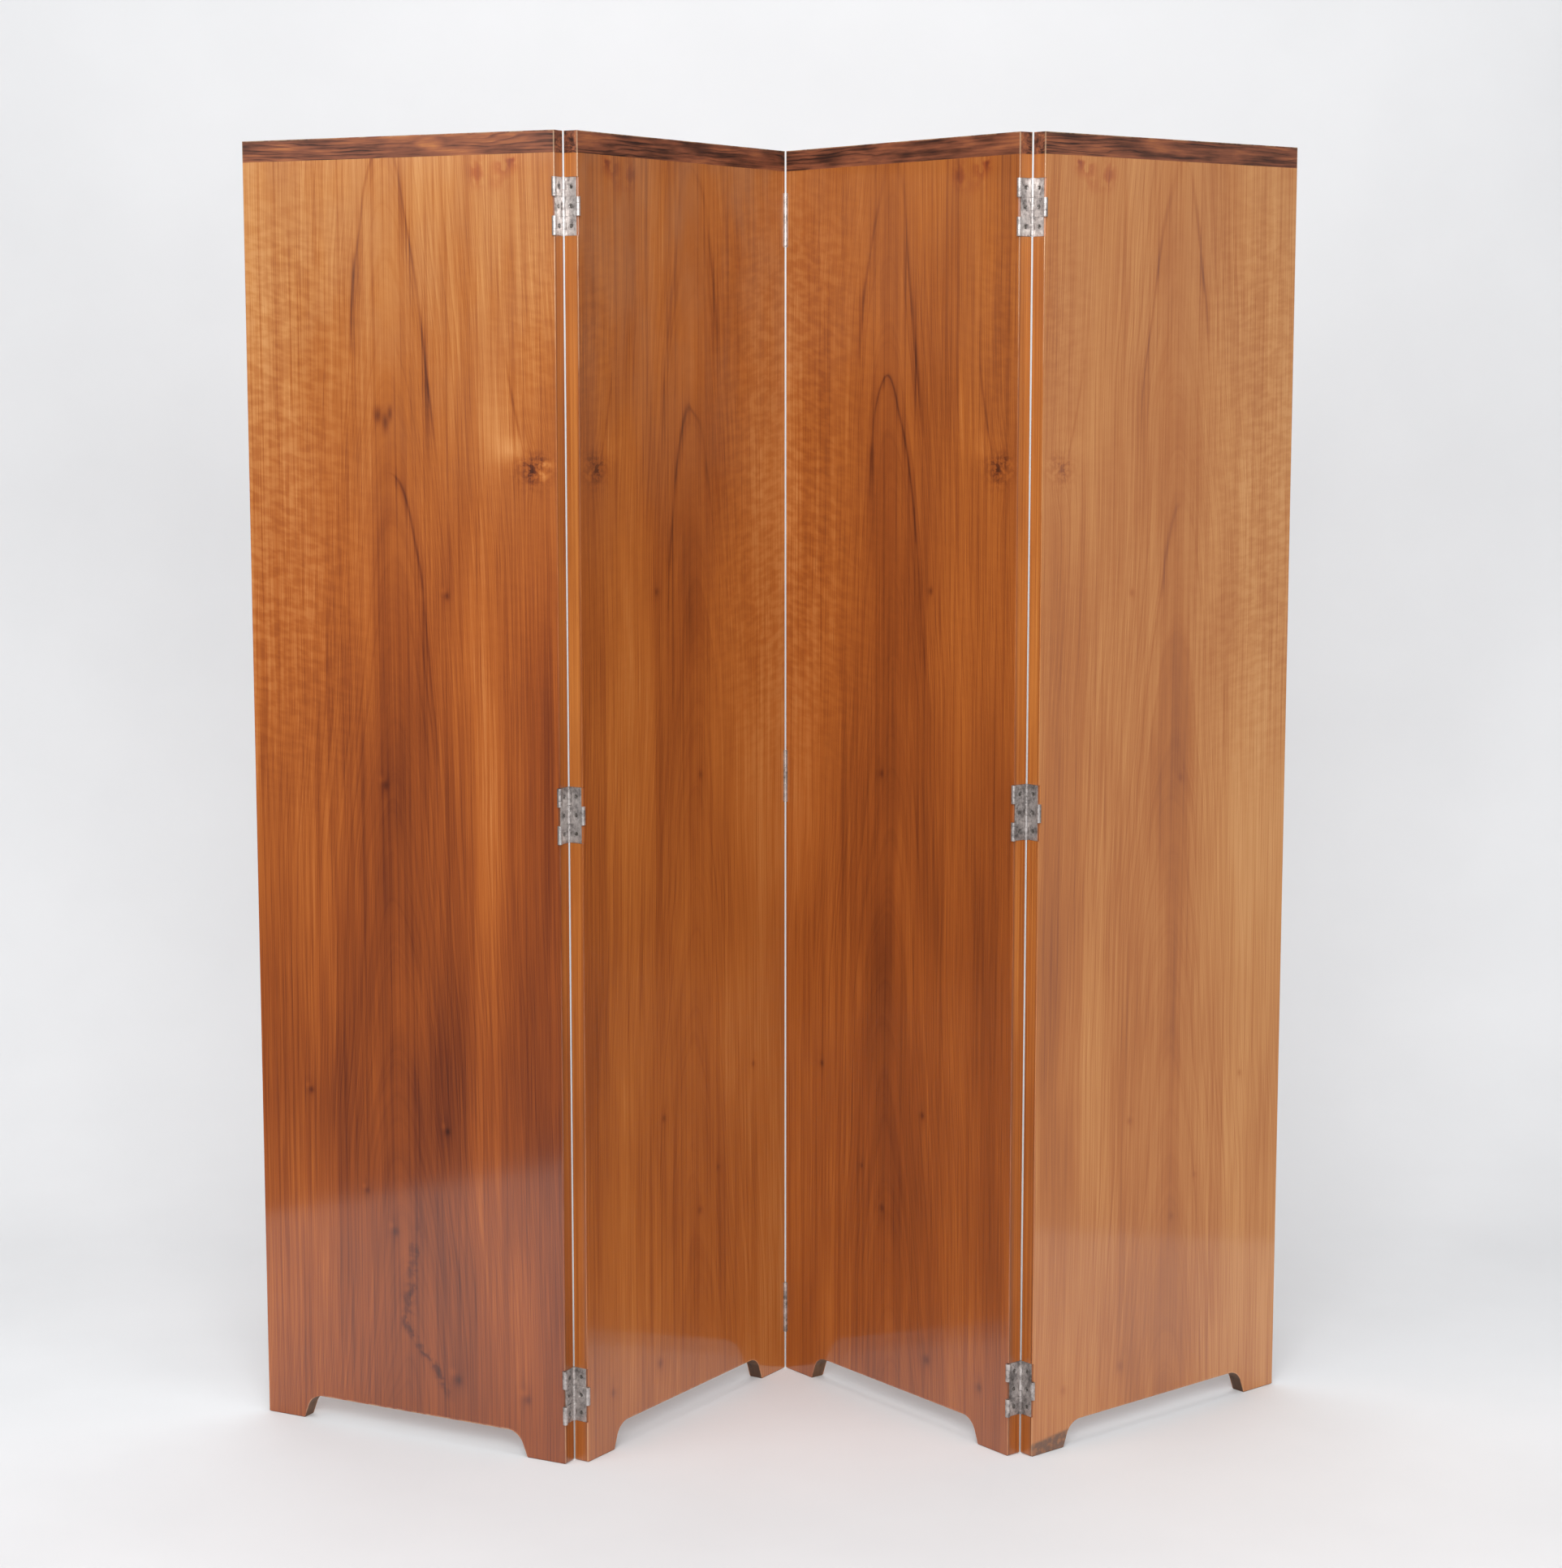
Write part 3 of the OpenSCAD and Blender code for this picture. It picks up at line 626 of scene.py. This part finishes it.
# HINGES
# Pressed steel leaves, loose link plates and barrels, nickel plated and dulled by age. Their
# pressed edges are slightly rounded, and dark tarnish has gathered on them in spots. The top
# hinges are a little brighter, and those of the last joint a little duller.
ROUNDING, ROUNDING_STEPS = 0.00025, 2
WELD = 2e-6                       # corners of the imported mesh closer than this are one
PLATE_METALLIC = 0.85
PIT = (0.09, 0.07, 0.06, 1.0)     # the colour of tarnish in a pit

# In degrees: a flat face's largest bend, the least bend that stays sharp, and the least rounded
FLAT, SHARP, ROUNDED = 1.0, 35.0, 40.0

tarnish, a, end = effect("aged_nickel", [("Place", "vector", (0, 0, 0))],
                         [("Color", "colour"), ("Gloss", "value"), ("Relief", "value")])
stains = noise(tarnish, a["Place"], (260.0, 260.0, 230.0), 5.0, 0.65)
film = noise(tarnish, a["Place"], (70.0, 70.0, 60.0), 3.0, 0.6)
pits = spread(tarnish, noise(tarnish, a["Place"], (900.0, 900.0, 900.0), 2.0), 0.60, 0.75)
along, _, height = axes(tarnish, a["Place"])
bright = total(tarnish, (stains, 0.42), (film, 0.58), spread(tarnish, height, 1.1, 1.6, 0.0, 0.06),
               spread(tarnish, along, 0.1, 0.3, 0.0, -0.035))
plated = ramp(tarnish, bright, [(0.30, (0.110, 0.096, 0.092)), (0.42, (0.290, 0.262, 0.250)),
                                (0.52, (0.520, 0.475, 0.455)), (0.66, (0.720, 0.680, 0.655))])
feed(tarnish, end, {"Color": blend(tarnish, product(tarnish, pits, 0.35), plated, PIT),
                    "Gloss": spread(tarnish, bright, 0.38, 0.62, 0.58, 0.34),
                    "Relief": calc(tarnish, "SUBTRACT", stains, pits)})

nickel, tree, plate = new_material("aged_nickel_plate")
aged = use(tree, tarnish, {"Place": in_metres(tree)})
feed(tree, plate, {"Base Color": aged["Color"], "Roughness": aged["Gloss"], "Metallic": PLATE_METALLIC,
                   "Normal": bump(tree, aged["Relief"], 0.00008)})


def softened(node):
    """A copy of a packed metal part with its pressed edges rounded off, which stands in its place."""
    shape = bmesh.new()
    shape.from_mesh(frame["nodes"][node].data)
    bmesh.ops.remove_doubles(shape, verts=shape.verts, dist=WELD)
    bmesh.ops.dissolve_limit(shape, angle_limit=radians(FLAT), verts=shape.verts, edges=shape.edges,
                             delimit={"NORMAL"})
    mesh = bpy.data.meshes.new(node + "_softened")
    shape.to_mesh(mesh)
    shape.free()
    mesh.materials.append(nickel)
    for face in mesh.polygons:
        face.use_smooth = True
    mesh.set_sharp_from_angle(angle=radians(SHARP))
    piece = bpy.data.objects.new(node + "_softened", mesh)
    bpy.context.scene.collection.objects.link(piece)
    rounding = piece.modifiers.new("rounding", "BEVEL")
    rounding.width = ROUNDING
    rounding.segments = ROUNDING_STEPS
    rounding.limit_method = "ANGLE"
    rounding.angle_limit = radians(ROUNDED)
    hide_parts(node)
    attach(piece, frame["nodes"][node]["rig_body"])


JOINTS, SIDES = (1, 2, 3), ("left", "right")
for joint in JOINTS:
    for level in ("bottom", "middle", "top"):
        for side in SIDES:
            softened("hinge_%d_%s_%s_leaf" % (joint, level, side))
    softened("hinge_%d_outer_links" % joint)
    softened("hinge_%d_middle_links" % joint)


# PINS AND SCREWS
# Steel pins run through the barrels, and countersunk slotted screws hold the leaves. Both are
# darker than the plates, because the plating has worn off their heads.
steel, tree, bare = new_material("worn_steel")
stains = noise(tree, in_metres(tree), (420.0, 420.0, 420.0), 4.0, 0.6)
feed(tree, bare, {
    "Base Color": ramp(tree, stains, [(0.35, (0.070, 0.060, 0.052)), (0.55, (0.240, 0.220, 0.200)),
                                      (0.70, (0.430, 0.410, 0.390))]),
    "Roughness": spread(tree, stains, 0.35, 0.7, 0.6, 0.35),
    "Metallic": 0.9,
    "Normal": bump(tree, stains, 0.00006)})
for number in PANELS:
    dress(steel, "panel_%d_hinge_screws" % number)
for joint in JOINTS:
    for side in SIDES:
        dress(steel, "hinge_%d_%s_pins" % (joint, side))


# PAPER SWEEP
# The screen stands on a roll of pale paper that runs out towards the camera. Behind the screen it
# joins a wider one that curves up as the backdrop. Its underside isn't drawn, so that a view from
# behind shows the screen.
PAPER_LEFT, PAPER_RIGHT, PAPER_FRONT, PAPER_BACK, PAPER_TOP = -1.72, 1.52, -3.6, 2.10, 4.0
PAPER_BEND = 1.25                 # the curve's radius
PAPER_JOIN = 0.35                 # how far back the narrow roll reaches
PAPER_WIDER = 1.45                # how many times wider the backdrop is
PAPER_FLAT = PAPER_BACK - PAPER_BEND      # where the curve begins
sweep = bmesh.new()
line = [sweep.verts.new((PAPER_LEFT, y, 0.0)) for y in (PAPER_FRONT, PAPER_JOIN, PAPER_FLAT)]
sweep.edges.new(line[:2])
sweep.edges.new(line[1:])
curve = bmesh.ops.spin(sweep, geom=[line[2]], cent=(PAPER_LEFT, PAPER_FLAT, PAPER_BEND),
                       axis=(1, 0, 0), angle=pi / 2, steps=24, use_merge=False)
top = [v for v in curve["geom_last"] if isinstance(v, bmesh.types.BMVert)][0]
sweep.edges.new((top, sweep.verts.new((PAPER_LEFT, PAPER_BACK, PAPER_TOP))))
wide = bmesh.ops.extrude_edge_only(sweep, edges=sweep.edges[:])
bmesh.ops.translate(sweep, verts=[v for v in wide["geom"] if isinstance(v, bmesh.types.BMVert)],
                    vec=(PAPER_RIGHT - PAPER_LEFT, 0, 0))
bmesh.ops.remove_doubles(sweep, verts=sweep.verts, dist=1e-5)
for corner in sweep.verts:
    if corner.co.y > (PAPER_JOIN + PAPER_FLAT) / 2:
        corner.co.x *= PAPER_WIDER
sweep.normal_update()
bmesh.ops.reverse_faces(sweep, faces=[face for face in sweep.faces if face.normal.z < face.normal.y])
mesh = bpy.data.meshes.new("paper_sweep")
sweep.to_mesh(mesh)
sweep.free()
for face in mesh.polygons:
    face.use_smooth = True
paper = bpy.data.objects.new("paper_sweep", mesh)
bpy.context.scene.collection.objects.link(paper)

material, tree, sheet = new_material("pale_paper")
fibre = noise(tree, in_metres(tree), (3.0, 3.0, 3.0), 3.0)
paper_white = ramp(tree, fibre, [(0.3, (0.785, 0.795, 0.81)), (0.7, (0.815, 0.825, 0.84))])
feed(tree, sheet, {"Base Color": paper_white, "Roughness": 0.75, "Specular IOR Level": 0.2})
underside = put(tree, "ShaderNodeNewGeometry", {}).outputs["Backfacing"]
clear = put(tree, "ShaderNodeBsdfTransparent", {}).outputs["BSDF"]
one_sided = put(tree, "ShaderNodeMixShader", {0: underside, 1: sheet.outputs["BSDF"], 2: clear})
feed(tree, tree.nodes["Material Output"], {"Surface": one_sided.outputs["Shader"]})
paper.data.materials.append(material)


# LIGHT
# Soft studio light: a large box on each side at the front, a wide one overhead, one over the
# back, one behind the camera and a faint one beside panel 4. The room round them gives a dim
# light, and the camera sees it pale.
SOFTBOXES = {
    # name: place, point it looks at, width and height, power in watts
    "left_box": ((-3.1, -2.2, 2.9), (-0.4, -0.8, 0.2), (2.6, 2.2), 34.0),
    "side_box": ((3.2, -0.6, 0.6), (0.0, -0.2, 0.6), (3.0, 4.0), 11.0),
    "right_box": ((3.1, -2.9, 2.4), (0.9, 0.9, 0.3), (2.2, 2.0), 27.0),
    "top_box": ((-0.4, -1.6, 4.4), (-0.4, -1.2, 0.0), (3.8, 3.4), 82.0),
    "back_box": ((0.1, 1.1, 4.3), (0.1, 0.7, 0.0), (3.2, 1.0), 36.0),
    "front_box": ((-0.2, -5.3, 3.0), (0.0, 0.0, 0.9), (3.6, 2.6), 256.0),
}
ROOM_LIGHT, ROOM_SEEN = 0.085, 0.80
for name, (at, aim, size, power) in SOFTBOXES.items():
    light = bpy.data.lights.new(name, "AREA")
    light.shape = "RECTANGLE"
    light.size, light.size_y = size
    light.energy = power
    lamp = bpy.data.objects.new(name, light)
    lamp.location = at
    lamp.rotation_euler = (Vector(aim) - Vector(at)).to_track_quat("-Z", "Y").to_euler()
    bpy.context.scene.collection.objects.link(lamp)

world = bpy.data.worlds.new("studio_room")
world.use_nodes = True
room = world.node_tree
seen = put(room, "ShaderNodeLightPath", {}).outputs["Is Camera Ray"]
feed(room, room.nodes["Background"], {"Color": (0.95, 0.96, 1.0, 1.0),
                                      "Strength": spread(room, seen, 0.0, 1.0, ROOM_LIGHT, ROOM_SEEN)})
bpy.context.scene.world = world
bpy.context.scene.view_settings.view_transform = "Standard"


# CAMERA
# It stands 4.45 m in front of the screen at head height and looks slightly down, turned a little
# to the right. Lens and place come from a fit of the panels' corners to the photo.
EYE, TURN, DIP, LENS, SENSOR = (-0.03158, -4.44787, 1.50800), 0.470, 7.550, 72.97, 36.0
lens = bpy.data.cameras.new("viewpoint")
lens.lens = LENS
lens.sensor_width = SENSOR
lens.clip_start, lens.clip_end = 0.05, 60.0
camera = bpy.data.objects.new("viewpoint", lens)
camera.location = EYE
camera.rotation_euler = (radians(90.0 - DIP), 0.0, radians(-TURN))
bpy.context.scene.collection.objects.link(camera)
bpy.context.scene.camera = camera
